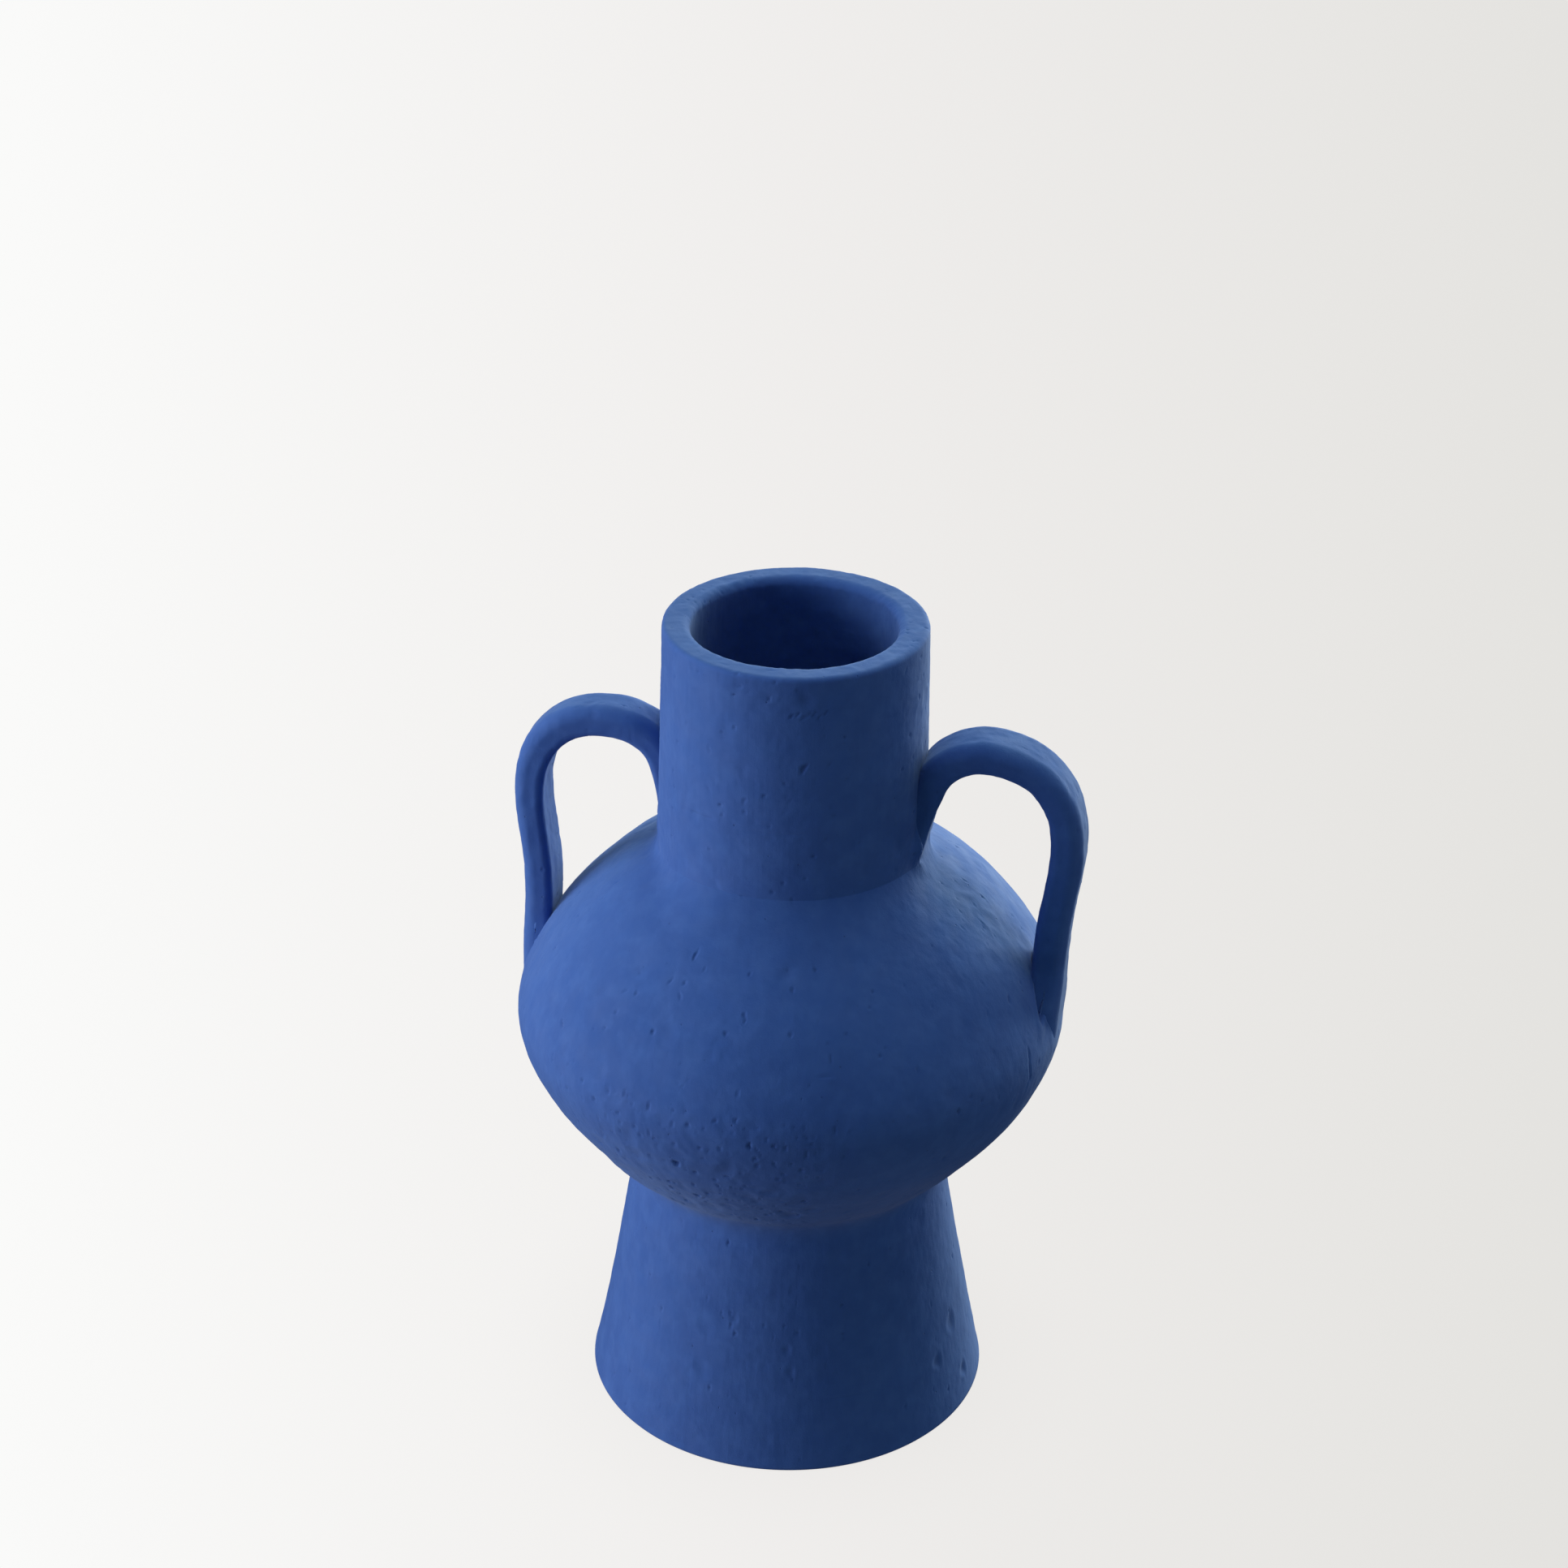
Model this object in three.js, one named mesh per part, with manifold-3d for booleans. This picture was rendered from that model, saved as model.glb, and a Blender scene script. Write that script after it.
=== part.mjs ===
// A two-handled amphora in matt blue earthenware, thrown in sections and luted together:
// a hollow flared foot, a round-bottomed lower bowl, a domed shoulder, a straight neck and
// two strap handles, with soft clay coils pressed into the joints.
// Millimetres, +Z up. The axis of the pot is Z, the foot stands on z = 0, the handles lie in
// the XZ plane.
import * as THREE from "three";
import { mergeVertices } from "three/addons/utils/BufferGeometryUtils.js";
import Module from "manifold-3d";

// ---- Driving dimensions ----
const HEIGHT = 300;
const GAP = 0.3; // clearance between pieces that touch
const FACETS = 40; // flats round the axis of every turned piece

const FOOT_BASE_R = 71.8;
const FOOT_WAIST_R = 55.4; // foot's outside where it meets the bowl
const FOOT_SWEEP = 1.4; // how far the foot's side hollows in from a straight cone
const FOOT_WALL = 9;
const FOOT_EDGE_R = 3; // rounding of the standing ring's outer edge
const FOOT_INNER_EDGE_R = 1.5;
const FOOT_STEPS = 6; // straight steps up the side of the foot
const WAIST_Z = 93; // height of the corner between foot and bowl

const EQUATOR_R = 95.6;
const EQUATOR_Z = 155.6; // widest ring of the belly, where bowl and shoulder are joined
const BELLY_WALL = 8.5;
const NECK_BASE_Z = 214; // top of the shoulder, on which the neck stands

const NECK_BASE_R = 46.5;
const NECK_MIDDLE_R = 45.5;
const RIM_R = 44.8;
const MOUTH_R = 34.8;
const NECK_BORE_R = 36; // inside of the neck at its foot
const RIM_OUTER_EDGE_R = 2.5;
const RIM_INNER_EDGE_R = 4;

// Where each luting coil feathers out on its two walls, as [outwards, upwards] from the
// corner of the joint.
const WAIST_COIL_ON_FOOT = [1, -6.5];
const WAIST_COIL_ON_BOWL = [5.4, 5];
const NECK_COIL_ON_SHOULDER = [4.5, -2.9];
const NECK_COIL_ON_NECK = [-0.1, 4.5];
const COIL_DEPTH = 5; // how deep a coil is pressed into its joint
const SEAM_COIL_HEIGHT = 12; // coil smoothed over the inside of the belly seam
const SEAM_COIL_PROUD = 3;

const STRAP_WIDTH = 16.5;
const STRAP_THICKNESS = 11;
const STRAP_EDGE_R = 3.8;

// Outside of the belly as [radius, height], from the middle of its round bottom, past the
// waist and the equator, up to the foot of the neck.
const BELLY_OUTLINE = [
  [0, 73],
  [25, 76.5],
  [45, 85.5],
  [60, 97.6],
  [73.4, 111.1],
  [88.8, 131.5],
  [EQUATOR_R, EQUATOR_Z],
  [85.2, 179.7],
  [66.3, 200.1],
  [NECK_BASE_R, NECK_BASE_Z],
];
const STEPS_A_SPAN = 2; // straight steps between two neighbouring points of the outline
const EQUATOR_STEP = 6 * STEPS_A_SPAN;
const LAST_STEP = (BELLY_OUTLINE.length - 1) * STEPS_A_SPAN;

// Middle line of each strap as [distance from the axis, height], from inside the wall of the
// neck, over the arch, down to inside the wall of the belly.
const LEFT_STRAP = [
  [43.5, 222],
  [44.5, 242],
  [49.5, 252],
  [58, 256.5],
  [71.5, 256.8],
  [84.5, 249.6],
  [91.8, 234],
  [91.7, 217],
  [90, 195],
  [90.6, 168],
  [84, 146],
];
const RIGHT_STRAP = [
  [41.5, 222],
  [46.5, 242],
  [51.5, 252],
  [60, 258],
  [72, 259],
  [87, 252],
  [95.2, 236],
  [95.3, 219],
  [92.3, 197],
  [90.6, 168],
  [84, 146],
];

// ---- Solids ----
const wasm = await Module();
wasm.setup();

function solidFrom(geometry) {
  const bare = geometry.clone();
  bare.deleteAttribute("normal");
  bare.deleteAttribute("uv");
  const merged = mergeVertices(bare, 1e-3);
  return new wasm.Manifold(
    new wasm.Mesh({
      numProp: 3,
      vertProperties: new Float32Array(merged.attributes.position.array),
      triVerts: new Uint32Array(merged.index.array),
    }),
  );
}

function geometryFrom(solid) {
  const mesh = solid.getMesh();
  const geometry = new THREE.BufferGeometry();
  geometry.setAttribute("position", new THREE.BufferAttribute(mesh.vertProperties, 3));
  geometry.setIndex(new THREE.BufferAttribute(mesh.triVerts, 1));
  geometry.computeVertexNormals();
  return geometry;
}

// A profile of Vector2 (radius, height) turned about Z. It starts and ends on the axis, or
// closes on itself.
function turned(profile) {
  return solidFrom(new THREE.LatheGeometry(profile, FACETS).rotateX(Math.PI / 2));
}

const at = (radius, height) => new THREE.Vector2(radius, height);
const closed = (profile) => [...profile, profile[0].clone()];

// Points of a quarter round from one angle to another, in degrees.
function roundEdge(centre, radius, from, to, steps = 3) {
  return Array.from({ length: steps + 1 }, (_, i) => {
    const angle = THREE.MathUtils.degToRad(from + ((to - from) * i) / steps);
    return at(centre.x + radius * Math.cos(angle), centre.y + radius * Math.sin(angle));
  });
}

// ---- The belly's outline and its walls ----
const bellyOutline = new THREE.SplineCurve(BELLY_OUTLINE.map(([r, z]) => at(r, z)));

// Points on the belly's outline from one step to another, moved outwards by `out`.
function bellyPoints(from, to, out) {
  return Array.from({ length: to - from + 1 }, (_, i) => {
    const share = (from + i) / LAST_STEP;
    const point = bellyOutline.getPoint(share);
    const along = bellyOutline.getTangent(share);
    if (point.x < 1e-6) along.set(1, 0); // the bottom is level on the axis
    return at(Math.max(point.x + along.y * out, 0), point.y - along.x * out);
  });
}

// Everything inside the belly's outside surface, grown by `out`.
function bellyBody(out) {
  const side = bellyPoints(0, LAST_STEP, out);
  const top = Math.max(side.at(-1).y, NECK_BASE_Z + out);
  return turned([...side, at(side.at(-1).x, top), at(0, top)]);
}

// ---- Turned pieces ----
function footSide(out) {
  const middleR = (FOOT_BASE_R + FOOT_WAIST_R) / 2 - FOOT_SWEEP;
  return new THREE.QuadraticBezierCurve(
    at(FOOT_BASE_R + out, 0),
    at(middleR + out, WAIST_Z / 2),
    at(FOOT_WAIST_R + out, WAIST_Z),
  );
}

// A luting coil's section: a soft hollow curve between its two feather edges, and its
// deepest point, level with the corner of the joint.
function coilProfile(corner, lower, upper) {
  const edge = ([outwards, upwards]) => at(corner.x + outwards, corner.y + upwards);
  const hollow = new THREE.QuadraticBezierCurve(edge(lower), corner, edge(upper));
  return [...hollow.getPoints(5), at(corner.x - COIL_DEPTH, corner.y)];
}

// The V-shaped groove that a coil is pressed into: the triangle of its two feather edges and
// its deepest point, with every side moved out by the clearance.
function groove(coil) {
  const corners = [coil[0], coil.at(-2), coil.at(-1)];
  return corners.map((corner, i) => {
    const toNext = corners[(i + 1) % 3].clone().sub(corner).normalize();
    const toLast = corners[(i + 2) % 3].clone().sub(corner).normalize();
    const halfAngle = Math.acos(toNext.dot(toLast)) / 2;
    const inwards = toNext.add(toLast).setLength(GAP / Math.sin(halfAngle));
    return corner.clone().sub(inwards);
  });
}

const waistCoil = coilProfile(
  at(FOOT_WAIST_R, WAIST_Z),
  WAIST_COIL_ON_FOOT,
  WAIST_COIL_ON_BOWL,
);
const neckCoil = coilProfile(
  at(NECK_BASE_R, NECK_BASE_Z + GAP),
  NECK_COIL_ON_SHOULDER,
  NECK_COIL_ON_NECK,
);

function makeFoot() {
  const outer = footSide(0);
  const inner = footSide(-FOOT_WALL);
  const outerEdge = at(FOOT_BASE_R - FOOT_EDGE_R, FOOT_EDGE_R);
  const innerEdge = at(FOOT_BASE_R - FOOT_WALL + FOOT_INNER_EDGE_R, FOOT_INNER_EDGE_R);
  const topZ = WAIST_Z + FOOT_WALL / 2; // the bowl then cuts its own seat in the top
  const up = Array.from({ length: FOOT_STEPS }, (_, i) => (i + 1) / FOOT_STEPS);
  const profile = [
    ...roundEdge(outerEdge, FOOT_EDGE_R, -90, -10),
    ...up.map((share) => outer.getPoint(share)),
    at(FOOT_WAIST_R, topZ),
    at(FOOT_WAIST_R - FOOT_WALL, topZ),
    ...up.reverse().map((share) => inner.getPoint(share)),
    ...roundEdge(innerEdge, FOOT_INNER_EDGE_R, 190, 270, 2),
  ];
  return turned(closed(profile))
    .subtract(bellyBody(GAP))
    .subtract(turned(closed(groove(waistCoil))));
}

function makeLowerBowl() {
  const outside = bellyPoints(0, EQUATOR_STEP, 0);
  const inside = bellyPoints(0, EQUATOR_STEP, -BELLY_WALL).reverse();
  const seam = EQUATOR_Z - GAP / 2;
  outside.at(-1).y = seam;
  inside[0].y = seam;
  return turned([...outside, ...inside]);
}

function makeShoulder() {
  const outside = bellyPoints(EQUATOR_STEP, LAST_STEP, 0);
  const inside = bellyPoints(EQUATOR_STEP, LAST_STEP, -BELLY_WALL).reverse();
  const seam = EQUATOR_Z + GAP / 2;
  outside[0].y = seam;
  inside.at(-1).y = seam;
  const profile = [
    ...outside,
    at(NECK_BORE_R, NECK_BASE_Z),
    at(NECK_BORE_R, inside[0].y),
    ...inside,
  ];
  return turned(closed(profile));
}

function makeNeck() {
  const side = new THREE.SplineCurve([
    at(NECK_BASE_R, NECK_BASE_Z + GAP),
    at(NECK_MIDDLE_R, (NECK_BASE_Z + HEIGHT) / 2),
    at(RIM_R, HEIGHT - RIM_OUTER_EDGE_R),
  ]);
  const outerEdge = at(RIM_R - RIM_OUTER_EDGE_R, HEIGHT - RIM_OUTER_EDGE_R);
  const innerEdge = at(MOUTH_R + RIM_INNER_EDGE_R, HEIGHT - RIM_INNER_EDGE_R);
  const profile = [
    ...side.getPoints(4).slice(0, -1),
    ...roundEdge(outerEdge, RIM_OUTER_EDGE_R, 0, 90),
    ...roundEdge(innerEdge, RIM_INNER_EDGE_R, 90, 180),
    at(NECK_BORE_R, NECK_BASE_Z + GAP),
  ];
  return turned(closed(profile)).subtract(turned(closed(groove(neckCoil))));
}

function makeSeamCoil() {
  const wall = EQUATOR_R - BELLY_WALL;
  const half = SEAM_COIL_HEIGHT / 2;
  const bead = new THREE.QuadraticBezierCurve(
    at(wall, EQUATOR_Z + half),
    at(wall - 2 * SEAM_COIL_PROUD, EQUATOR_Z),
    at(wall, EQUATOR_Z - half),
  );
  const inside = [
    ...bellyPoints(0, LAST_STEP, -BELLY_WALL - GAP),
    at(0, NECK_BASE_Z - BELLY_WALL),
  ];
  const profile = [
    at(wall + SEAM_COIL_PROUD, EQUATOR_Z - half),
    at(wall + SEAM_COIL_PROUD, EQUATOR_Z + half),
    ...bead.getPoints(6),
  ];
  return turned(closed(profile)).intersect(turned(inside));
}

// ---- Strap handles ----
function strapSection() {
  const x = STRAP_WIDTH / 2 - STRAP_EDGE_R;
  const y = STRAP_THICKNESS / 2 - STRAP_EDGE_R;
  const shape = new THREE.Shape();
  shape.absarc(x, y, STRAP_EDGE_R, 0, Math.PI / 2);
  shape.absarc(-x, y, STRAP_EDGE_R, Math.PI / 2, Math.PI);
  shape.absarc(-x, -y, STRAP_EDGE_R, Math.PI, 1.5 * Math.PI);
  shape.absarc(x, -y, STRAP_EDGE_R, 1.5 * Math.PI, 2 * Math.PI);
  return shape;
}

// side is +1 for the handle towards +X and -1 for the one towards -X.
function makeHandle(middleLine, side) {
  const path = new THREE.CatmullRomCurve3(
    middleLine.map(([reach, z]) => new THREE.Vector3(side * reach, 0, z)),
  );
  const strap = new THREE.ExtrudeGeometry(strapSection(), {
    steps: 30,
    curveSegments: 3,
    bevelEnabled: false,
    extrudePath: path,
  });
  const neckBody = turned([
    at(0, NECK_BASE_Z - BELLY_WALL),
    at(NECK_BASE_R + GAP, NECK_BASE_Z - BELLY_WALL),
    at(NECK_BASE_R + GAP, NECK_BASE_Z),
    at(NECK_MIDDLE_R + GAP, (NECK_BASE_Z + HEIGHT) / 2),
    at(NECK_MIDDLE_R + GAP, HEIGHT),
    at(0, HEIGHT),
  ]);
  return solidFrom(strap)
    .subtract(neckBody)
    .subtract(bellyBody(GAP))
    .subtract(turned(closed(groove(neckCoil))));
}

// ---- Assembly ----
const MATT_BLUE = { color: 0x3c5aa6, roughness: 0.85, metalness: 0 };

function piece(name, solid) {
  const mesh = new THREE.Mesh(
    geometryFrom(solid),
    new THREE.MeshStandardMaterial(MATT_BLUE),
  );
  mesh.name = name;
  return mesh;
}

const amphora = new THREE.Group();
amphora.add(
  piece("foot", makeFoot()),
  piece("waist_coil", turned(closed(waistCoil)).subtract(bellyBody(GAP))),
  piece("lower_bowl", makeLowerBowl()),
  piece("belly_seam_coil", makeSeamCoil()),
  piece("shoulder", makeShoulder()),
  piece("neck_coil", turned(closed(neckCoil)).subtract(bellyBody(GAP))),
  piece("neck", makeNeck()),
  piece("handle_left", makeHandle(LEFT_STRAP, -1)),
  piece("handle_right", makeHandle(RIGHT_STRAP, 1)),
);

export default amphora;
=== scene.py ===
# A two-handled amphora in matt blue earthenware. Every CAD piece is replaced by a fine mesh of
# the same piece: clay that was thrown, scraped and luted by hand, with its ripples, pits and nicks.
import math
from itertools import product

import bpy
import numpy as np
from mathutils import Matrix, Vector
from mathutils.kdtree import KDTree


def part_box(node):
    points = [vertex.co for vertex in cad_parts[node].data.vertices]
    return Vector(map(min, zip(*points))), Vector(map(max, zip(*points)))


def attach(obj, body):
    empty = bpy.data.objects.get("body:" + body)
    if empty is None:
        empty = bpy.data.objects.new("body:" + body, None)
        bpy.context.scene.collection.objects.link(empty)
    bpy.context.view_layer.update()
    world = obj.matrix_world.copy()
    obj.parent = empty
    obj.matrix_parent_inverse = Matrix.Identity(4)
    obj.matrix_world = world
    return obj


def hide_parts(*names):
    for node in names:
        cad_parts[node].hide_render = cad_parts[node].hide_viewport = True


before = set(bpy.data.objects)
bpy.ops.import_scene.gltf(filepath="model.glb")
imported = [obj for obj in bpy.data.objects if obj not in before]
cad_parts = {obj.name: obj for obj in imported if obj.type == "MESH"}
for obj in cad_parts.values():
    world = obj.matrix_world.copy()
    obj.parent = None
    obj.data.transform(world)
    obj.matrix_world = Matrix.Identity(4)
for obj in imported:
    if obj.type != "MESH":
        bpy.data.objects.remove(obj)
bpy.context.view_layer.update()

MM = 0.001

# ---- Sizes in millimetres: the same outline as the CAD model's ----
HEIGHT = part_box("neck")[1].z / MM
FOOT_BASE_R = 71.8
FOOT_WAIST_R = 55.4
FOOT_SWEEP = 1.4  # how far the foot's side hollows in from a straight cone
FOOT_WALL = 9
FOOT_EDGE_R = 1.6
FOOT_INNER_EDGE_R = 1.5
WAIST_Z = 93
EQUATOR_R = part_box("shoulder")[1].x / MM
EQUATOR_Z = (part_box("shoulder")[0].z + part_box("lower_bowl")[1].z) / 2 / MM
BELLY_WALL = 8.5
NECK_BASE_Z = 214
NECK_BASE_R = 46.5
NECK_MIDDLE_R = 45.5
RIM_R = 44.8
MOUTH_R = 34.8
NECK_BORE_R = 36
RIM_OUTER_EDGE_R = 1.7
RIM_INNER_EDGE_R = 3.3
COIL_DEPTH = 5  # how deep in the wall the neck coil's root is
COIL_ROOT = 1.5  # how far down the bowl's underside the waist coil's root is
SEAT_REACH = 9  # and how far down it the foot's seat reaches
SEAM_R = EQUATOR_R - 1  # where the face between bowl and shoulder begins, just under the skin
SEAM_COIL_HALF = 4.4  # half the height of the coil inside the belly seam
SEAM_COIL_PROUD = 3

BELLY_OUTLINE = [
    (0, 73), (25, 76.5), (45, 85.5), (60, 97.6), (73.4, 111.1), (88.8, 131.5),
    (EQUATOR_R, EQUATOR_Z), (85.3, 179.8), (66.7, 200.4), (NECK_BASE_R, NECK_BASE_Z),
]

# Middle line of each strap as (distance from the axis, height), then its widths and thicknesses.
LEFT_STRAP = [
    (41, 204), (40.3, 220.1), (42.5, 239), (47.8, 251.4), (60, 257.4), (75.1, 256.2),
    (85.4, 249), (91.3, 237.3), (92.5, 222.8), (89.9, 194.3), (90.8, 157.5), (86.2, 142),
]
RIGHT_STRAP = [
    (38.5, 204.9), (41.4, 224.2), (46.2, 241.7), (52.1, 253.2), (63, 259.3), (76.3, 258.2),
    (87.5, 251.6), (94.2, 239.5), (95.6, 223.1), (92, 194.5), (89.5, 155.9), (84.1, 144.2),
]
STRAP_STATIONS = (0, 0.12, 0.45, 0.8, 0.9, 1)  # shares of its length where its sizes are given
LEFT_WIDTHS, LEFT_THICKNESSES = (14, 18, 17, 18, 24, 30), (10, 10.6, 11.2, 10.6, 10.5, 10.4)
RIGHT_WIDTHS, RIGHT_THICKNESSES = (18, 21, 20, 17, 29, 37), (10.4, 11.6, 10.7, 11.6, 11.6, 11.4)
OUTER_EDGES = (5, 5, 5, 5, 7, 8)  # how round its corners are, on the outside of the arch
INNER_EDGES = (5, 3, 3, 3, 3, 3)

# How far each luting coil feathers out along its two walls from the corner of the joint.
WAIST_COIL_REACH = (6.6, 7.4)
NECK_COIL_REACH = (5.4, 4.5)
COLLAR_REACH = (20, 5)  # and where more clay stands round the front of the neck
COLLAR_MIDDLE = math.radians(17)
COLLAR_EDGES = (0.2, 0.85)  # cosines of the turns from its middle where it ends and is full
COLLAR_FILL = 0.7  # how nearly it fills the corner there, where 1 is level

# ---- How finely the surface is drawn ----
COLUMNS = 960  # points right round the pot; halves evenly
COARSE = 1  # makes the rows sparser too
ROW_STEP = 0.75 * COARSE
NECK_ROW_STEP = 0.6 * COARSE
FOOT_ROW_STEP = 0.95 * COARSE
RIM_ROW_STEP = 0.45 * COARSE
BORE_ROW_STEP = 1.3
WAIST_COIL_ROWS = 12 // COARSE
NECK_COIL_ROWS = 21 // COARSE
HIDDEN_STEP = 2.5
FEWEST = COLUMNS // 4  # points round a ring that is inside the pot
POLE_COLUMNS = 15  # points in the last ring before a pole
NECK_EVERY = 2  # the neck is slimmer, so it keeps every second column

TURN = np.arange(COLUMNS) * (2 * math.pi / COLUMNS)  # 0 at the front (-Y), turning towards +X
OUTWARDS = np.stack([np.sin(TURN), -np.cos(TURN), np.zeros(COLUMNS)], -1)
UPWARDS = np.array([0.0, 0.0, 1.0])


# ---- Noise and easing ----
def ease(value, start, end):
    """0 before start, 1 after end, and a smooth step between."""
    share = np.clip((value - start) / (end - start), 0, 1)
    return share * share * (3 - 2 * share)


def noise(points, size, seed):
    """Smooth gradient noise, about -1 to 1, whose lumps are `size` apart. size may be (x, y, z)."""
    random = np.random.default_rng(seed)
    side = 32  # the pattern repeats after this many lumps
    slopes = random.normal(size=(side, side, side, 3)).astype(np.float32)
    slopes /= np.linalg.norm(slopes, axis=-1, keepdims=True)
    spot = points / np.array(size) + random.uniform(0, side, 3)
    cell = np.floor(spot).astype(np.int32)
    local = (spot - cell).astype(np.float32)
    blend = local**3 * (local * (local * 6 - 15) + 10)
    total = np.zeros(points.shape[:-1], np.float32)
    for corner in product((0, 1), repeat=3):
        x, y, z = np.moveaxis((cell + np.array(corner)) % side, -1, 0)
        reach = ((local - np.array(corner, np.float32)) * slopes[x, y, z]).sum(-1)
        weight = np.where(np.array(corner) == 1, blend, 1 - blend).prod(-1)
        total += reach * weight
    return total * 1.6


# ---- Outlines ----
def smooth_line(points, steps=24):
    """A Catmull-Rom line through the points."""
    points = np.array(points, float)
    before = np.vstack([points[:1], points[:-2]])
    after = np.vstack([points[2:], points[-1:]])
    share = (np.arange(steps) / steps)[:, None, None]
    a, b = points[:-1], points[1:]
    leave, arrive = (b - before) / 2, (after - a) / 2
    line = (
        (2 * a - 2 * b + leave + arrive) * share**3
        + (3 * b - 3 * a - 2 * leave - arrive) * share**2
        + leave * share
        + a
    )
    return np.vstack([np.swapaxes(line, 0, 1).reshape(-1, points.shape[1]), points[-1:]])


def bezier(a, b, c, share):
    a, b, c = (np.asarray(p, float) for p in (a, b, c))
    return (1 - share) ** 2 * a + 2 * share * (1 - share) * b + share**2 * c


def arc(centre, radius, start, end, steps=24):
    angle = np.radians(np.linspace(start, end, steps))
    return np.stack([centre[0] + radius * np.cos(angle), centre[1] + radius * np.sin(angle)], -1)


class Outline:
    """A line of (radius, height), measured by its own length."""

    def __init__(self, *parts):
        self.points = np.vstack([np.atleast_2d(np.array(p, float)) for p in parts])
        gaps = np.hypot(*np.diff(self.points, axis=0).T)
        self.marks = np.concatenate([[0], np.cumsum(gaps)])
        self.length = self.marks[-1]

    def at(self, distance):
        return np.stack([np.interp(distance, self.marks, axis) for axis in self.points.T], -1)

    def rows(self, start, end, step):
        """Rings of (radius, height) from start to end, each of which is one distance or one per
        column."""
        start, end = np.broadcast_to(start, COLUMNS), np.broadcast_to(end, COLUMNS)
        count = max(int(round(float(np.mean(end - start)) / step)), 1)
        share = np.linspace(0, 1, count + 1)[:, None]
        return self.at(start + (end - start) * share)

    def inset(self, depth):
        """The same line moved to its left by depth, for a wall of even thickness."""
        along = np.gradient(self.points, axis=0)
        along /= np.linalg.norm(along, axis=1, keepdims=True)
        moved = self.points + depth * np.stack([-along[:, 1], along[:, 0]], -1)
        return Outline(moved[moved[:, 0] >= 0])


belly = Outline(smooth_line(BELLY_OUTLINE))
widest = int(np.argmax(belly.points[:, 0]))
equator_mark = belly.marks[widest]
waist_mark = float(np.interp(FOOT_WAIST_R, belly.points[:widest, 0], belly.marks[:widest]))


def foot_side(out=0.0):
    """The side of the foot from the bottom up, moved outwards by out."""
    middle = (FOOT_BASE_R + FOOT_WAIST_R) / 2 - FOOT_SWEEP
    share = np.linspace(0, 1, 80)[:, None]
    return bezier(
        (FOOT_BASE_R + out, 0), (middle + out, WAIST_Z / 2), (FOOT_WAIST_R + out, WAIST_Z), share
    )


def foot_outline():
    side = foot_side()
    edge = arc((FOOT_BASE_R - FOOT_EDGE_R, FOOT_EDGE_R), FOOT_EDGE_R, -90, -8)
    return Outline(edge, side[side[:, 1] > FOOT_EDGE_R])


def neck_outline():
    """The side of the neck up to the rim's top, the rim's top and inner edge, and the bore."""
    side = smooth_line([
        (NECK_BASE_R, NECK_BASE_Z),
        (NECK_MIDDLE_R, (NECK_BASE_Z + HEIGHT) / 2),
        (RIM_R, HEIGHT - RIM_OUTER_EDGE_R),
    ])
    outer = arc((RIM_R - RIM_OUTER_EDGE_R, HEIGHT - RIM_OUTER_EDGE_R), RIM_OUTER_EDGE_R, 5, 90)
    inner = arc((MOUTH_R + RIM_INNER_EDGE_R, HEIGHT - RIM_INNER_EDGE_R), RIM_INNER_EDGE_R, 90, 180)
    bore_end = (NECK_BORE_R, NECK_BASE_Z)
    return Outline(side, outer), Outline(outer[-1], inner), Outline(inner[-1], bore_end)


# ---- The outside of the pot, in one grid from the standing ring to the bottom of the bore ----
def coil_size(turn, front, side, seed):
    """How big a luting coil's hollow is round the pot, as a share of its drawn size."""
    random = np.random.default_rng(seed)
    size = (front + side) / 2 - (side - front) / 2 * np.cos(2 * turn)
    for waves in (3, 5, 8):
        size = size + 0.06 * np.cos(waves * turn + random.uniform(0, 2 * math.pi))
    return size


def corner_rows(start, corner, end, count, collar=0):
    """Rings across a joint. collar is 0 where the coil is hollowed into the corner, and 1 where
    it fills the corner and stands on the pot with a crisp edge."""
    share = np.linspace(0, 1, count + 1)[:, None, None]
    straight = (start + end) / 2 - corner
    filled = COLLAR_FILL * np.reshape(collar, (-1, 1))
    return bezier(start, corner + filled * straight, end, share)


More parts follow.
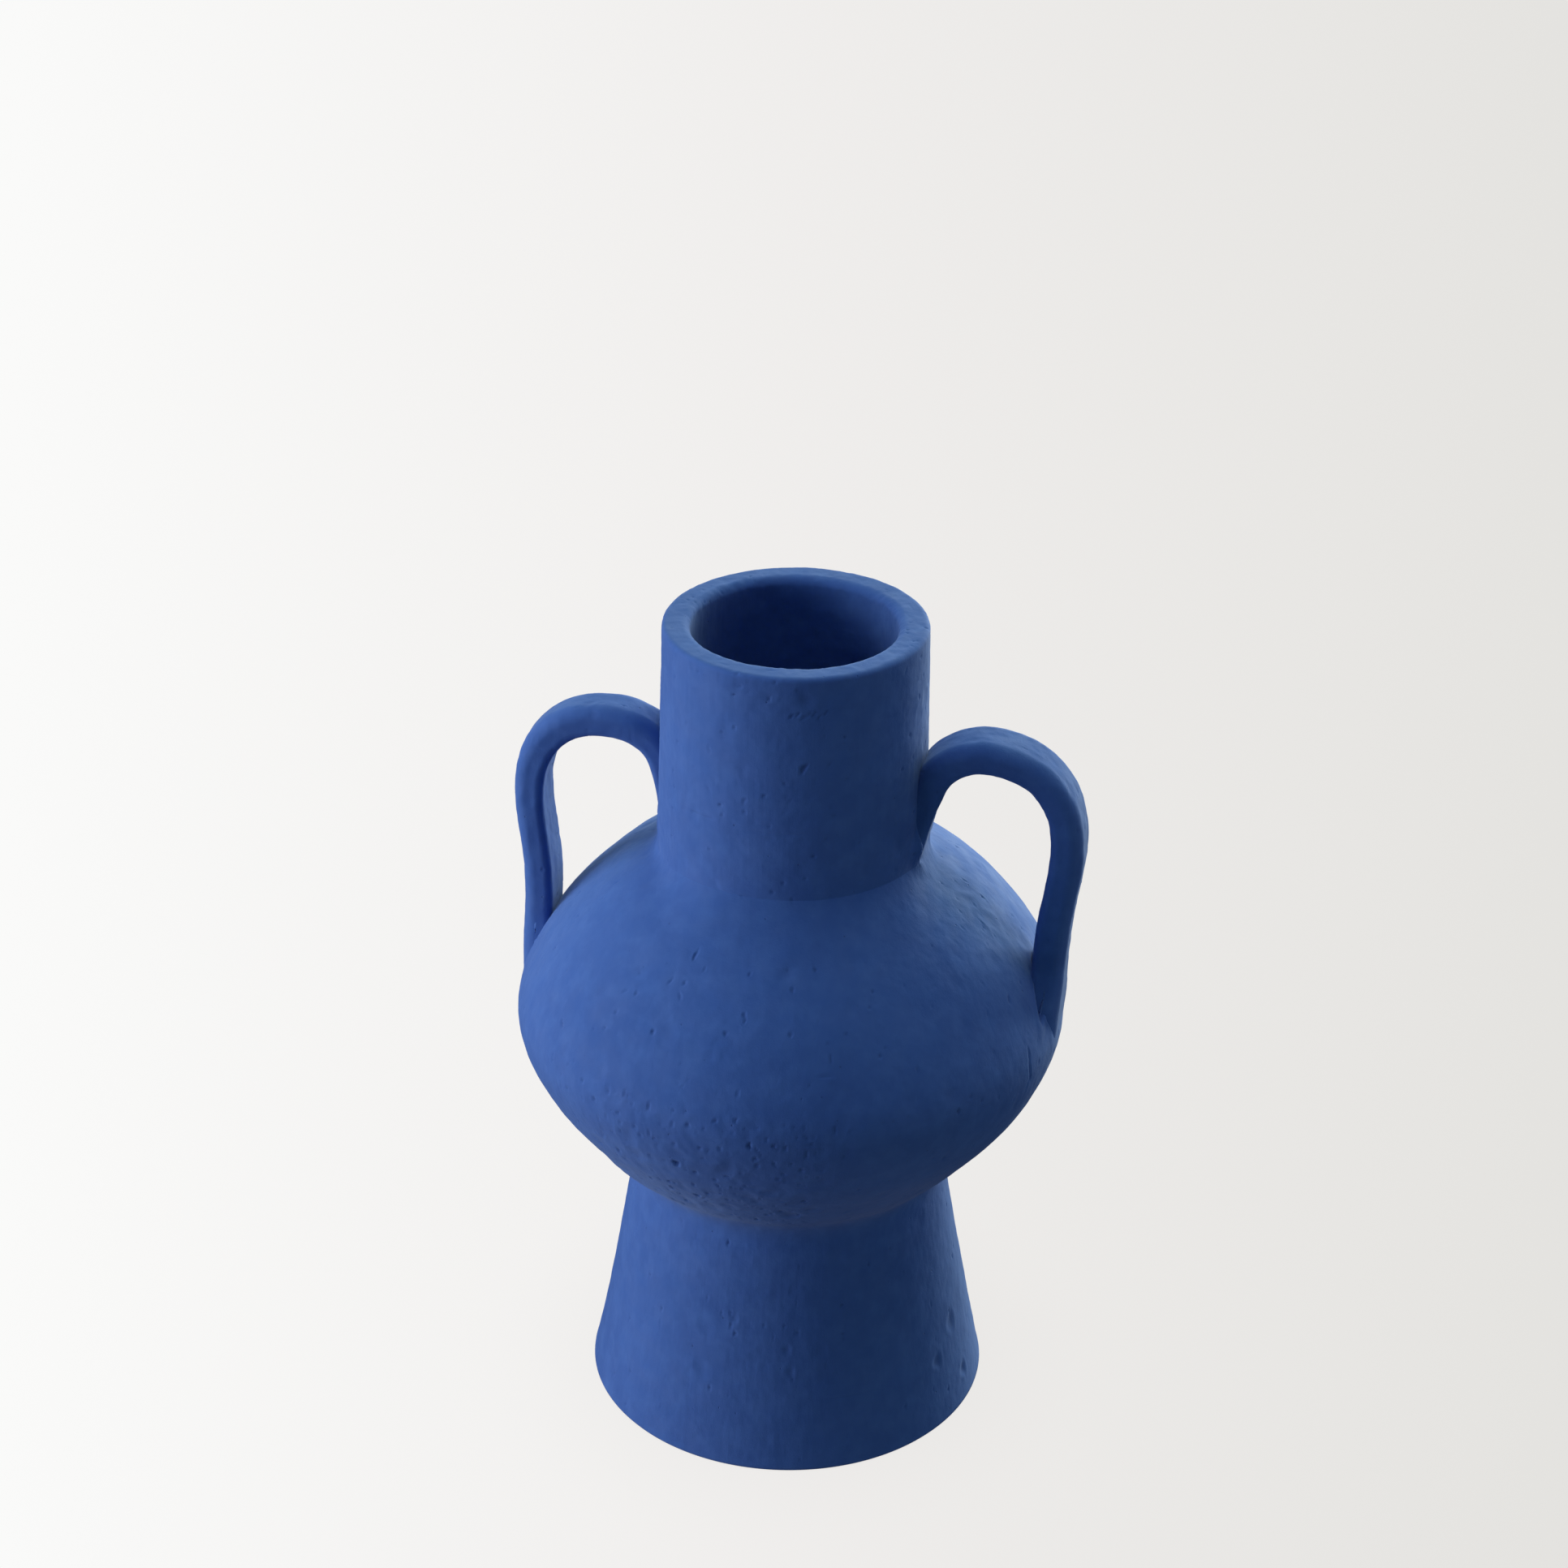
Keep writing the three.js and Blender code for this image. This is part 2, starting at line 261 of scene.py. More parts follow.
def outside_rings():
    """The (radius, height) of every ring of the outside, and the row where each piece begins."""
    foot, (neck, rim, bore) = foot_outline(), neck_outline()
    waist_size = coil_size(TURN, 0.95, 1.0, seed=1)
    neck_size = coil_size(TURN, 0.3, 1.0, seed=2)
    foot_end = foot.length - WAIST_COIL_REACH[0] * waist_size
    bowl_start = waist_mark + WAIST_COIL_REACH[1] * waist_size
    collar = ease(np.cos(TURN - COLLAR_MIDDLE), *COLLAR_EDGES)
    down, up = (
        hollow * neck_size * (1 - collar) + straight * collar
        for hollow, straight in zip(NECK_COIL_REACH, COLLAR_REACH)
    )
    shoulder_end, neck_start = belly.length - down, up
    stretches = {
        "foot": foot.rows(0, foot_end, FOOT_ROW_STEP),
        "waist_coil": corner_rows(
            foot.at(foot_end), (FOOT_WAIST_R, WAIST_Z), belly.at(bowl_start), WAIST_COIL_ROWS
        ),
        "lower_bowl": belly.rows(bowl_start, equator_mark, ROW_STEP),
        "shoulder": belly.rows(equator_mark, shoulder_end, ROW_STEP),
        "neck_coil": corner_rows(
            belly.at(shoulder_end), (NECK_BASE_R, NECK_BASE_Z), neck.at(neck_start), NECK_COIL_ROWS,
            collar,
        ),
        "neck": neck.rows(neck_start, neck.length, NECK_ROW_STEP),
        "rim": rim.rows(0, rim.length, RIM_ROW_STEP),
        "bore": bore.rows(0, bore.length, BORE_ROW_STEP),
    }
    starts, rings = {}, []
    for name, rows in stretches.items():
        starts[name] = sum(len(r) for r in rings)
        rings.append(rows[:-1])  # the last ring is the next stretch's first
    starts["end"] = sum(len(r) for r in rings)
    return np.vstack([*rings, stretches["bore"][-1:]]), starts


def in_space(rings):
    """Points in space, in metres, of rings of (radius, height) in millimetres."""
    columns = OUTWARDS[:: COLUMNS // rings.shape[1]] if rings.shape[1] > 1 else OUTWARDS
    return (rings[..., :1] * columns + rings[..., 1:] * UPWARDS) * MM


def ring_normals(rings):
    along = np.gradient(rings, axis=0)
    along /= np.maximum(np.linalg.norm(along, axis=-1, keepdims=True), 1e-9)
    columns = OUTWARDS[:: COLUMNS // rings.shape[1]]
    return along[..., 1:] * columns - along[..., :1] * UPWARDS


# Noise of several sizes, from broad to fine: how proud its lumps are and how far apart, which may
# be (x, y, z), in millimetres, and a seed. Each use of noise has a seed of its own.
CLAY_LUMPS = [
    (0.35, 70, 11),
    (0.2, 32, 12),
    (0.1, 13, 13),
    (0.085, 6, 14),
    (0.06, 2.6, 15),
    (0.018, (2, 2, 26), 16),  # upright strokes of a wet sponge
]
LIP_LUMPS = [(0.28, 30, 17), (0.09, 2.2, 18)]
# On a strap the last number is added to the strap's own seed.
STRAP_LUMPS = [
    (0.3, 24, 1),
    (0.13, 9, 2),
    (0.09, 4, 3),
    (0.05, 2.2, 5),
    (0.05, (40, 3.5, 40), 4),  # drawn lengthwise
]


def lumpy(points, lumps, total=0, first_seed=0):
    """total, in millimetres, with noise of each of the lumps' sizes added to it."""
    for proud, apart, seed in lumps:
        total = total + proud * noise(points, np.multiply(apart, MM), first_seed + seed)
    return total


# How deep the throwing rings are, in millimetres: mostly scraped off outside, and left inside.
RIDGES_OUTSIDE, RIDGES_IN_BORE, RIDGES_INSIDE = 0.05, 0.22, 0.2


def throwing_rings(points, depth):
    """Faint level ridges left by fingers and ribs while the clay turned."""
    ridges = noise(points, (90 * MM, 90 * MM, 4.5 * MM), 31)
    fine = noise(points, (60 * MM, 60 * MM, 1.8 * MM), 32)
    where = ease(noise(points, 45 * MM, 33), -0.35, 0.5)
    return (ridges * 0.7 + fine * 0.3) * depth * where


# Where the pot is out of true: degrees round from the front, height, spread in degrees, spread
# in height and millimetres outwards.
BULGES = [
    (-48, 104, 20, 9, 1.3),
    (-72, 142, 18, 12, 0.7),
    (-80, 166, 14, 8, -0.4),
    (-125, 203, 30, 9, 0.6),
    (140, 197, 25, 10, 0.4),
]


def bulges(points):
    turn = np.degrees(np.arctan2(points[..., 0], -points[..., 1]))
    height = points[..., 2] / MM
    total = 0
    for degrees, level, spread, high, out in BULGES:
        aside = (turn - degrees + 180) % 360 - 180
        total = total + out * np.exp(-((aside / spread) ** 2) - ((height - level) / high) ** 2)
    return total


def hand_worked(points):
    """The uneven surface of scraped clay, in metres outwards."""
    return MM * lumpy(points, CLAY_LUMPS, bulges(points))


# ---- Pits, nicks and dents ----
LIP_HEIGHT = 0.16  # of the clay pushed up all round a mark, as a share of the mark's depth


class Skin:
    """A grid of points with outward normals, closed round its columns, and how far each point is
    pressed in."""

    def __init__(self, points, normals):
        self.points, self.normals = points, normals
        self.pressed = np.zeros(points.shape[:2])
        self.step_along = np.linalg.norm(np.gradient(points, axis=0), axis=-1)
        self.step_round = np.linalg.norm(np.roll(points, -1, 1) - points, axis=-1)

    def press(self, row, column, length, width, depth, tilt=0.0, edge=0.5, wobble=0.0):
        """Presses an oblong mark, in metres. tilt turns its long side from upright, in radians;
        edge is where its wall begins, as a share of its half width."""
        rows, columns = self.pressed.shape
        row, column = int(round(row)), int(round(column)) % columns
        row = min(max(row, 1), rows - 2)
        reach = 0.85 * max(length, width)  # just past the lip
        high = int(reach / self.step_along[row, column]) + 2
        wide = min(int(reach / self.step_round[row, column]) + 2, columns // 2 - 1)
        span = slice(max(row - high, 0), min(row + high + 1, rows))
        turns = np.arange(column - wide, column + wide + 1) % columns
        centre = self.points[row, column]
        round_ = self.points[row, (column + 1) % columns] - centre
        round_ /= np.linalg.norm(round_)
        along = self.points[row + 1, column] - self.points[row - 1, column]
        along /= np.linalg.norm(along)
        offset = self.points[span][:, turns] - centre
        across, up = offset @ round_, offset @ along
        x = (across * math.cos(tilt) - up * math.sin(tilt)) / (width / 2)
        y = (across * math.sin(tilt) + up * math.cos(tilt)) / (length / 2)
        ragged = 0.18 * min(1, 2.5 * MM / width)  # a dent is rounder than a pit
        share = np.hypot(x, y) * (1 + ragged * np.cos(3 * np.arctan2(y, x) + wobble))
        dip = depth * (1 - ease(share, edge, 1.05))
        lip = LIP_HEIGHT * depth * ease(share, 0.85, 1.1) * (1 - ease(share, 1.1, 1.6))
        self.pressed[span.start : span.stop, turns] += dip - lip

    def finished(self, relief):
        return self.points + self.normals * (relief - self.pressed)[..., None]


# Marks a buyer would know this pot by: degrees round from the front, height, then length, width
# and depth in millimetres, and degrees that the mark leans.
FRONT_MARKS = [
    (-12, 140, 3.2, 2.9, 0.9, 20),
    (-6, 150, 1.7, 1.4, 0.5, 0),
    (-2, 151.5, 1.9, 1.3, 0.5, 15),
    (4, 153.5, 3.0, 1.5, 0.6, -10),
    (9, 154.5, 1.8, 1.5, 0.45, 0),
    (-8, 137, 1.7, 1.5, 0.5, 0),
    (-10, 121, 3.6, 2.8, 0.4, 30),
    (8, 131, 5.0, 6.5, 0.35, 0),
    (-3, 161, 2.2, 1.2, 0.5, 45),
    (1, 162, 2.2, 1.1, 0.45, 30),
    (-23, 146, 13, 9, 0.3, 15),
    (-47, 171, 4.2, 1.1, 0.5, -50),
    (-21, 182, 2.2, 1.5, 0.4, 0),
    (-18, 203, 4.5, 1.2, 0.4, 0),
    (21, 181, 3.6, 0.9, 0.35, 0),
    (71, 158, 14, 1.4, 0.5, 5),
    (72, 180, 4.0, 1.0, 0.5, 35),
    (85, 174.3, 28, 6, 1.8, 50),
    (19, 176, 7.0, 0.9, 0.2, 88),
    (48, 157, 2.4, 1.6, 0.5, 0),
    (16, 268, 4.6, 2.0, 0.5, 30),
    (-20, 251, 1.2, 1.1, 0.5, 0),
    (-14, 292, 1.1, 1.0, 0.5, 0),
    (66, 25, 6.5, 6, 0.45, 0),
    (80, 12, 6.5, 6, 0.45, 0),
    (77, 34, 9, 7, 0.4, 0),
    (12, 47, 5, 4, 0.25, 0),
    (13, 38, 5.5, 4, 0.25, 0),
    (-6, 57, 5, 4, 0.2, 0),
    (-28, 244.8, 13, 0.9, 0.2, 90),
    (8, 243.9, 26, 0.9, 0.16, 90),
    (32, 27, 40, 1.4, 0.18, 90),
]
# Small marks on the outside: how many, a seed, the first and last of the stretches, and their size.
SMALL_MARKS = [
    (420, 52, "lower_bowl", "shoulder", 1.0),
    (330, 53, "shoulder", "neck_coil", 1.0),
    (420, 54, "neck", "rim", 0.9),
    (90, 56, "rim", "bore", 0.7),
]
# A row of short slanting gouges under the rim, where a tool chattered.
CHATTER_START, CHATTER_END, CHATTER_Z, CHATTER_COUNT = 11, 25, 287, 7
CHATTER_SHAPE, CHATTER_LEAN = (3.2, 1.0, 0.3), 38


def press_front_marks(skin, heights):
    def column_at(degrees):
        return degrees / 360 * COLUMNS

    def row_at(height, column):
        return np.interp(height, heights[:, int(round(column)) % COLUMNS], np.arange(len(heights)))

    for degrees, height, length, width, depth, lean in FRONT_MARKS:
        column = column_at(degrees)
        steep = min(0.5, 2 * depth / width)  # a shallow dent has gentler walls than a pit
        shape = np.multiply((length, width, depth), MM)
        skin.press(row_at(height, column), column, *shape, math.radians(lean), steep)
    for i in range(CHATTER_COUNT):
        turn = CHATTER_START + (CHATTER_END - CHATTER_START) * i / (CHATTER_COUNT - 1)
        column = column_at(turn)
        row = row_at(CHATTER_Z + 0.6 * math.sin(2.3 * i), column)
        shape = np.multiply(CHATTER_SHAPE, MM)
        skin.press(row, column, *shape, math.radians(CHATTER_LEAN), wobble=i)


def press_random_marks(skin, count, seed, rows, columns=None, size=1.0):
    """Scatters small pits, nicks, shallow dents and drag lines. Their shapes are length, width
    and depth in millimetres."""
    random = np.random.default_rng(seed)
    columns = columns or (0, skin.pressed.shape[1])
    for _ in range(count):
        row, column = random.uniform(*rows), random.uniform(*columns)
        kind, wobble, lean = random.random(), random.uniform(0, 6), random.normal(0, 0.5)
        grade = min(random.lognormal(0, 0.35), 1.5) * size
        edge = 0.2
        if kind < 0.5:  # pit where a grain or a bubble came out
            shape = (1.4 * grade, 1.15 * grade, 0.27 * grade)
        elif kind < 0.68:  # nick
            shape = (2.8 * grade, 0.95, 0.24 * grade)
        elif kind < 0.9:  # dent, with gentle walls
            shape, edge = (6.5 * grade, 5 * grade, 0.13 * grade), 0.05
        else:  # line dragged round by a grain under the rib
            shape, lean = (9 * grade, 0.8, 0.1), lean / 6 + math.pi / 2
        skin.press(row, column, *np.multiply(shape, MM), lean, edge, wobble)


class Outside:
    """The finished outside of the pot, and the row where each piece's stretch of it starts."""

    def __init__(self, points, pressed, starts):
        self.points, self.pressed, self.starts = points, pressed, starts

    def stretch(self, first, last, every=1):
        """The rings from one start to another, both included, and how far each is pressed in."""
        rows = slice(self.starts[first], self.starts[last] + 1)
        return list(self.points[rows, ::every]), self.pressed[rows, ::every].ravel()


def make_outside(straps):
    rings, starts = outside_rings()
    skin = Skin(in_space(rings), ring_normals(rings))
    heights = rings[: starts["rim"], :, 1]
    press_front_marks(skin, heights)
    # The foot's marks stay clear of its standing ring.
    press_random_marks(skin, 170, 51, (6, starts["waist_coil"]))
    for count, seed, first, last, size in SMALL_MARKS:
        press_random_marks(skin, count, seed, (starts[first], starts[last]), size=size)
    # The belly's left front has the most marks.
    left_front = (-0.13 * COLUMNS, 0.05 * COLUMNS)
    low_rows = (starts["lower_bowl"] + 10, starts["shoulder"] + 15)
    press_random_marks(skin, 320, 55, low_rows, left_front, size=1.1)
    relief = hand_worked(skin.points) + throwing_rings(skin.points, RIDGES_OUTSIDE * MM)
    inside = ease(np.arange(len(rings)), starts["rim"], starts["bore"])[:, None]
    relief += inside * throwing_rings(skin.points, RIDGES_IN_BORE * MM)
    lip = ease(np.arange(len(rings)), starts["rim"] - 6, starts["bore"] - 8)[:, None]
    relief += lip * MM * lumpy(skin.points, LIP_LUMPS)
    relief *= ease(rings[..., 1], 0, 5)  # the standing ring was ground flat
    skin.pressed *= ease(rings[..., 1], 0, 3)
    for strap in straps:
        relief += luting(skin, strap)
    return Outside(skin.finished(relief), skin.pressed, starts)


# ---- Meshes from chains of rings ----
def ring_faces(a, b):
    """Faces between two rings of vertex numbers. One may have half as many points as the other,
    or be a single point."""
    if len(a) == len(b):
        quads = np.stack([a, np.roll(a, -1), np.roll(b, -1), b], -1)
        return quads, np.empty((0, 3), int)
    flip = len(a) < len(b)
    if flip:
        a, b = b, a
    if len(b) == 1:
        fan = np.stack([a, np.roll(a, -1), np.full(len(a), b[0])], -1)
        return np.empty((0, 4), int), fan[:, ::-1] if flip else fan
    even, odd, after = a[::2], a[1::2], np.roll(a[::2], -1)
    later = np.roll(b, -1)
    tris = np.vstack([
        np.stack([even, odd, b], -1),
        np.stack([odd, later, b], -1),
        np.stack([odd, after, later], -1),
    ])
    return np.empty((0, 4), int), tris[:, ::-1] if flip else tris


def mesh_piece(name, node, rings, pressed=None, sharp=()):
    """A piece from a chain of rings of points. Its last ring meets its first, unless they are
    single points. sharp lists the rings along which the shading breaks."""
    counts = [len(ring) for ring in rings]
    firsts = np.concatenate([[0], np.cumsum(counts)])
    numbers = [np.arange(firsts[i], firsts[i + 1]) for i in range(len(rings))]
    pairs = list(zip(numbers, numbers[1:]))
    if len(rings[0]) > 1:
        pairs.append((numbers[-1], numbers[0]))
    faces = [ring_faces(a, b) for a, b in pairs]
    quads = np.vstack([f[0] for f in faces])
    tris = np.vstack([f[1] for f in faces])

    mesh = bpy.data.meshes.new(name)
    mesh.vertices.add(firsts[-1])
    mesh.vertices.foreach_set("co", np.vstack(rings).astype(np.float32).ravel())
    corners = np.concatenate([quads.ravel(), tris.ravel()])
    mesh.loops.add(len(corners))
    mesh.loops.foreach_set("vertex_index", corners.astype(np.int32))
    mesh.polygons.add(len(quads) + len(tris))
    starts = np.concatenate([
        4 * np.arange(len(quads)), 4 * len(quads) + 3 * np.arange(len(tris))
    ])
    mesh.polygons.foreach_set("loop_start", starts.astype(np.int32))
    mesh.update(calc_edges=True)
    mesh.polygons.foreach_set("use_smooth", np.ones(len(mesh.polygons), bool))
    mark_sharp(mesh, numbers, sharp)
    depth = np.zeros(firsts[-1], np.float32)
    if pressed is not None:
        depth[: len(pressed)] = pressed / MM
    mesh.attributes.new("pressed", "FLOAT", "POINT").data.foreach_set("value", depth)
    if mesh.validate():
        raise ValueError(f"{name} has faces that aren't valid")
    piece = bpy.data.objects.new(name, mesh)
    bpy.context.scene.collection.objects.link(piece)
    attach(piece, "root")
    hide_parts(node)
    return piece


def mark_sharp(mesh, numbers, sharp):
    ring_of = np.full(len(mesh.vertices), -1)
    for ring in sharp:
        ring_of[numbers[ring]] = ring % len(numbers)
    ends = np.empty(len(mesh.edges) * 2, np.int32)
    mesh.edges.foreach_get("vertices", ends)
    a, b = ring_of[ends.reshape(-1, 2)].T
    flags = mesh.attributes.new("sharp_edge", "BOOLEAN", "EDGE")
    flags.data.foreach_set("value", (a == b) & (a >= 0))


def ring_count(ring, rings, first, last):
    """How many points a hidden ring has: few, but within a factor of two of its neighbours."""
    count = max(FEWEST, first >> (ring + 1), last >> (rings - ring))
    if first == 1:
        count = min(count, POLE_COLUMNS << ring)
    if last == 1:
        count = min(count, POLE_COLUMNS << (rings - 1 - ring))
    return count


def inner_rings(outline, first, last, worked=False):
    """Rings along a line that is inside the pot or in a joint, without its two ends. first and
    last are how many points the rings before and after it have, with 1 for a pole."""
    rings = max(int(round(outline.length / HIDDEN_STEP)), 4)
    marks = np.linspace(0, outline.length, rings + 1)[:-1] + outline.length / rings / 2
    spots = np.repeat(outline.at(marks)[:, None], COLUMNS, axis=1)
    points = in_space(spots)
    if worked:
        swell = hand_worked(points) + throwing_rings(points, RIDGES_INSIDE * MM)
        # It fades out towards both ends, so that the pieces still meet there.
        fade = ease(marks, 0, 8) * (1 - ease(marks, outline.length - 8, outline.length))
        points = points + ring_normals(spots) * (swell * fade[:, None])[..., None]
    counts = [ring_count(i, rings, first, last) for i in range(rings)]
    return [ring[:: COLUMNS // count] for ring, count in zip(points, counts)]


# ---- The turned pieces ----
def foot_lining():
    """Lines from the top of the foot round its seat under the bowl, down its hollow inside, and
    across the standing ring."""
    seat = belly.at(np.linspace(waist_mark - COIL_ROOT, waist_mark - SEAT_REACH, 8))
    wall = foot_side(-FOOT_WALL)[::-1]
    wall = wall[(wall[:, 1] < seat[-1, 1] - 0.5) & (wall[:, 1] > FOOT_INNER_EDGE_R)]
    edge_centre = (FOOT_BASE_R - FOOT_WALL + FOOT_INNER_EDGE_R, FOOT_INNER_EDGE_R)
    edge = arc(edge_centre, FOOT_INNER_EDGE_R, 180, 270, 8)
    ring_end = (FOOT_BASE_R - FOOT_EDGE_R - 0.4, 0)
    return Outline(seat), Outline(seat[-1], wall, edge), Outline(edge[-1], ring_end)


def make_foot(outside):
    rings, pressed = outside.stretch("foot", "waist_coil")
    seat, wall, standing_ring = foot_lining()
    lining = [
        *inner_rings(seat, COLUMNS, FEWEST),
        *inner_rings(wall, FEWEST, FEWEST, worked=True),
        *inner_rings(standing_ring, FEWEST, COLUMNS),
    ]
    return mesh_piece("thrown_foot", "foot", rings + lining, pressed, sharp=[len(rings) - 1])


def make_waist_coil(outside):
    rings, pressed = outside.stretch("waist_coil", "lower_bowl")
    root = in_space(np.broadcast_to(belly.at(waist_mark - COIL_ROOT), (1, COLUMNS, 2)))
    sharp = [0, len(rings) - 1]
    return mesh_piece("luted_waist_coil", "waist_coil", rings + list(root), pressed, sharp)


def belly_inside():
    """The line inside the belly's wall, from the floor up, and the number of its widest point."""
    points = belly.inset(BELLY_WALL).points
    return points, int(np.argmax(points[:, 0]))


def make_lower_bowl(outside):
    rings, pressed = outside.stretch("lower_bowl", "shoulder")
    under = Outline(belly.points[belly.marks < waist_mark + 3])
    lining, turn = belly_inside()
    inside = Outline((SEAM_R, EQUATOR_Z), lining[: turn + 1][::-1])
    bottom, floor = (np.array([[0, 0, z * MM]]) for z in (under.points[0, 1], lining[0, 1]))
    lower = [bottom, *inner_rings(under, 1, COLUMNS, worked=True)]
    upper = [*inner_rings(inside, COLUMNS, 1), floor]
    pressed = np.concatenate([np.zeros(sum(len(ring) for ring in lower)), pressed])
    sharp = [len(lower), len(lower) + len(rings) - 1]
    return mesh_piece("thrown_lower_bowl", "lower_bowl", lower + rings + upper, pressed, sharp)


def make_shoulder(outside):
    rings, pressed = outside.stretch("shoulder", "neck_coil")
    lining, turn = belly_inside()
    under = lining[turn:][lining[turn:, 0] > NECK_BORE_R + 1][::-1]
    hole = [(NECK_BASE_R - COIL_DEPTH, NECK_BASE_Z), (NECK_BORE_R, NECK_BASE_Z)]
    back = [
        *inner_rings(Outline(hole, (NECK_BORE_R, under[0, 1])), COLUMNS, FEWEST),
        *inner_rings(Outline(under), FEWEST, FEWEST, worked=True),
        *inner_rings(Outline(under[-1], (SEAM_R, EQUATOR_Z)), FEWEST, COLUMNS),
    ]
    sharp = [0, len(rings) - 1]
    return mesh_piece("thrown_shoulder", "shoulder", rings + back, pressed, sharp)


def make_neck_coil(outside):
    rings, pressed = outside.stretch("neck_coil", "neck")
    rings[-1] = rings[-1][::NECK_EVERY]
    pressed = pressed[: sum(len(ring) for ring in rings)]
    spot = (NECK_BASE_R - COIL_DEPTH, NECK_BASE_Z)
    root = in_space(np.broadcast_to(spot, (1, COLUMNS // NECK_EVERY, 2)))
    sharp = [0, len(rings) - 1]
    return mesh_piece("luted_neck_coil", "neck_coil", rings + list(root), pressed, sharp)


def make_neck(outside):
    rings, pressed = outside.stretch("neck", "bore", NECK_EVERY)
    bore = outside.stretch("bore", "end", 2 * NECK_EVERY)[0][1:]
    foot = Outline((NECK_BORE_R + 0.5, NECK_BASE_Z), (NECK_BASE_R - COIL_DEPTH, NECK_BASE_Z))
    back = inner_rings(foot, COLUMNS // (2 * NECK_EVERY), COLUMNS // NECK_EVERY)
    return mesh_piece("thrown_neck", "neck", rings + bore + back, pressed, sharp=[0])


def make_seam_coil():
    wall = EQUATOR_R - BELLY_WALL
    top, bottom = ((wall + 0.4, EQUATOR_Z + up) for up in (SEAM_COIL_HALF, -SEAM_COIL_HALF))
    share = np.linspace(0, 1, 24)[:, None]
    bead = Outline(bezier(top, (wall - 2 * SEAM_COIL_PROUD, EQUATOR_Z), bottom, share), top)
    marks = np.linspace(0, bead.length, 18)[:-1]
    points = in_space(np.repeat(bead.at(marks)[:, None], FEWEST, axis=1))
    points[..., :2] *= 1 + 0.004 * noise(points, 25 * MM, 41)[..., None]
    return mesh_piece("luted_belly_seam_coil", "belly_seam_coil", list(points))


# ---- The pulled handles ----
SECTION_POINTS = 120
STRAP_STEP = 0.6 * COARSE
RUN_IN = 2.4  # millimetres from the pot over which a strap's skin turns into the pot's
# How round the corner is where the pot's clay is smeared up on to a strap, along the strap.
LUTING_STATIONS = (0, 0.1, 0.15, 0.84, 0.9, 1)
LUTING_RADII = (7, 6, 0.1, 0.1, 2, 5)


def strap_section():
    """Round the strap's section, evenly spaced: which corner each point is at, as (across, out)
    from -1 to 1, and which way the skin faces."""
    across = [1, 1, -1, -1, -1, -1, 1, 1, 1]
    out = [1, 1, 1, 1, -1, -1, -1, -1, 1]
    quarters = [0, 1, 1, 2, 2, 3, 3, 4, 4]
    stages = np.linspace(0, 1, len(across))

    def at(share):
        x, y, quarter = (np.interp(share, stages, values) for values in (across, out, quarters))
        angle = quarter * math.pi / 2
        return np.stack([x, y], -1), np.stack([np.cos(angle), np.sin(angle)], -1)

    share = np.linspace(0, 1, 2000)
    corner, facing = at(share)
    # Even spacing on the right strap's arch is near enough to even all along both straps.
    half = np.array([RIGHT_WIDTHS[2], RIGHT_THICKNESSES[2]]) / 2
    radius = edge_radius(corner, OUTER_EDGES[2], INNER_EDGES[2])
    line = Outline(corner * (half - radius) + radius * facing)
    marks = np.arange(SECTION_POINTS) * (line.length / SECTION_POINTS)
    return at(np.interp(marks, line.marks, share))


def edge_radius(corner, outer, inner):
    """The corner radius at each point of a section, from inner to outer across its thickness."""
    return inner + (outer - inner) * (corner[:, 1:] + 1) / 2


def distance_to_pot(points):
    """How far points in space, in millimetres, are outside the pot's wall, or 0 inside it."""
    wall = np.vstack([belly.points[belly.marks > waist_mark][::2], neck_outline()[0].points[::2]])
    spot = np.stack([np.hypot(points[..., 0], points[..., 1]), points[..., 2]], -1)
    gaps = spot[..., None, :] - wall
    nearest = np.sqrt((gaps**2).sum(-1).min(-1))
    return np.where(spot[..., 0] < np.interp(spot[..., 1], wall[:, 1], wall[:, 0]), 0, nearest)


def grid_normals(points):
    """Normals of a grid that is closed round its columns, whichever way it is wound."""
    along = np.gradient(points, axis=0)
    round_ = np.roll(points, -1, 1) - np.roll(points, 1, 1)
    normals = np.cross(round_, along)
    return normals / np.maximum(np.linalg.norm(normals, axis=-1, keepdims=True), 1e-12)


def ease_between(share):
    """Moves shares of the length towards their nearest station, so that sizes change gently."""
    before = np.searchsorted(STRAP_STATIONS, share, "right") - 1
    before = np.clip(before, 0, len(STRAP_STATIONS) - 2)
    start, end = (np.take(STRAP_STATIONS, before + i) for i in (0, 1))
    return start + (end - start) * ease(share, start, end)


def strap_grid(middle_line, widths, thicknesses, side):
    """Points of a strap, in millimetres: rows along its middle line, columns round its section."""
    line = Outline(smooth_line(middle_line))
    marks = np.linspace(0, line.length, int(line.length / STRAP_STEP) + 1)
    middle = line.at(marks)
    along = np.gradient(middle, axis=0)
    along /= np.linalg.norm(along, axis=1, keepdims=True)
    share = ease_between(marks / line.length)
    width, thickness, outer, inner = (
        np.interp(share, STRAP_STATIONS, sizes)[:, None, None]
        for sizes in (widths, thicknesses, OUTER_EDGES, INNER_EDGES)
    )
    half = np.concatenate([width, thickness], -1) / 2
    corner, facing = strap_section()
    radius = edge_radius(corner, outer, inner)
    section = corner * (half - radius) + radius * facing
    level = np.zeros(len(marks))
    middle_points = np.stack([side * middle[:, 0], level, middle[:, 1]], -1)
    outwards = np.stack([-side * along[:, 1], level, along[:, 0]], -1)
    sideways = np.array([0.0, side, 0.0])
    return (
        middle_points[:, None]
        + section[..., :1] * sideways
        + section[..., 1:] * outwards[:, None]
    )


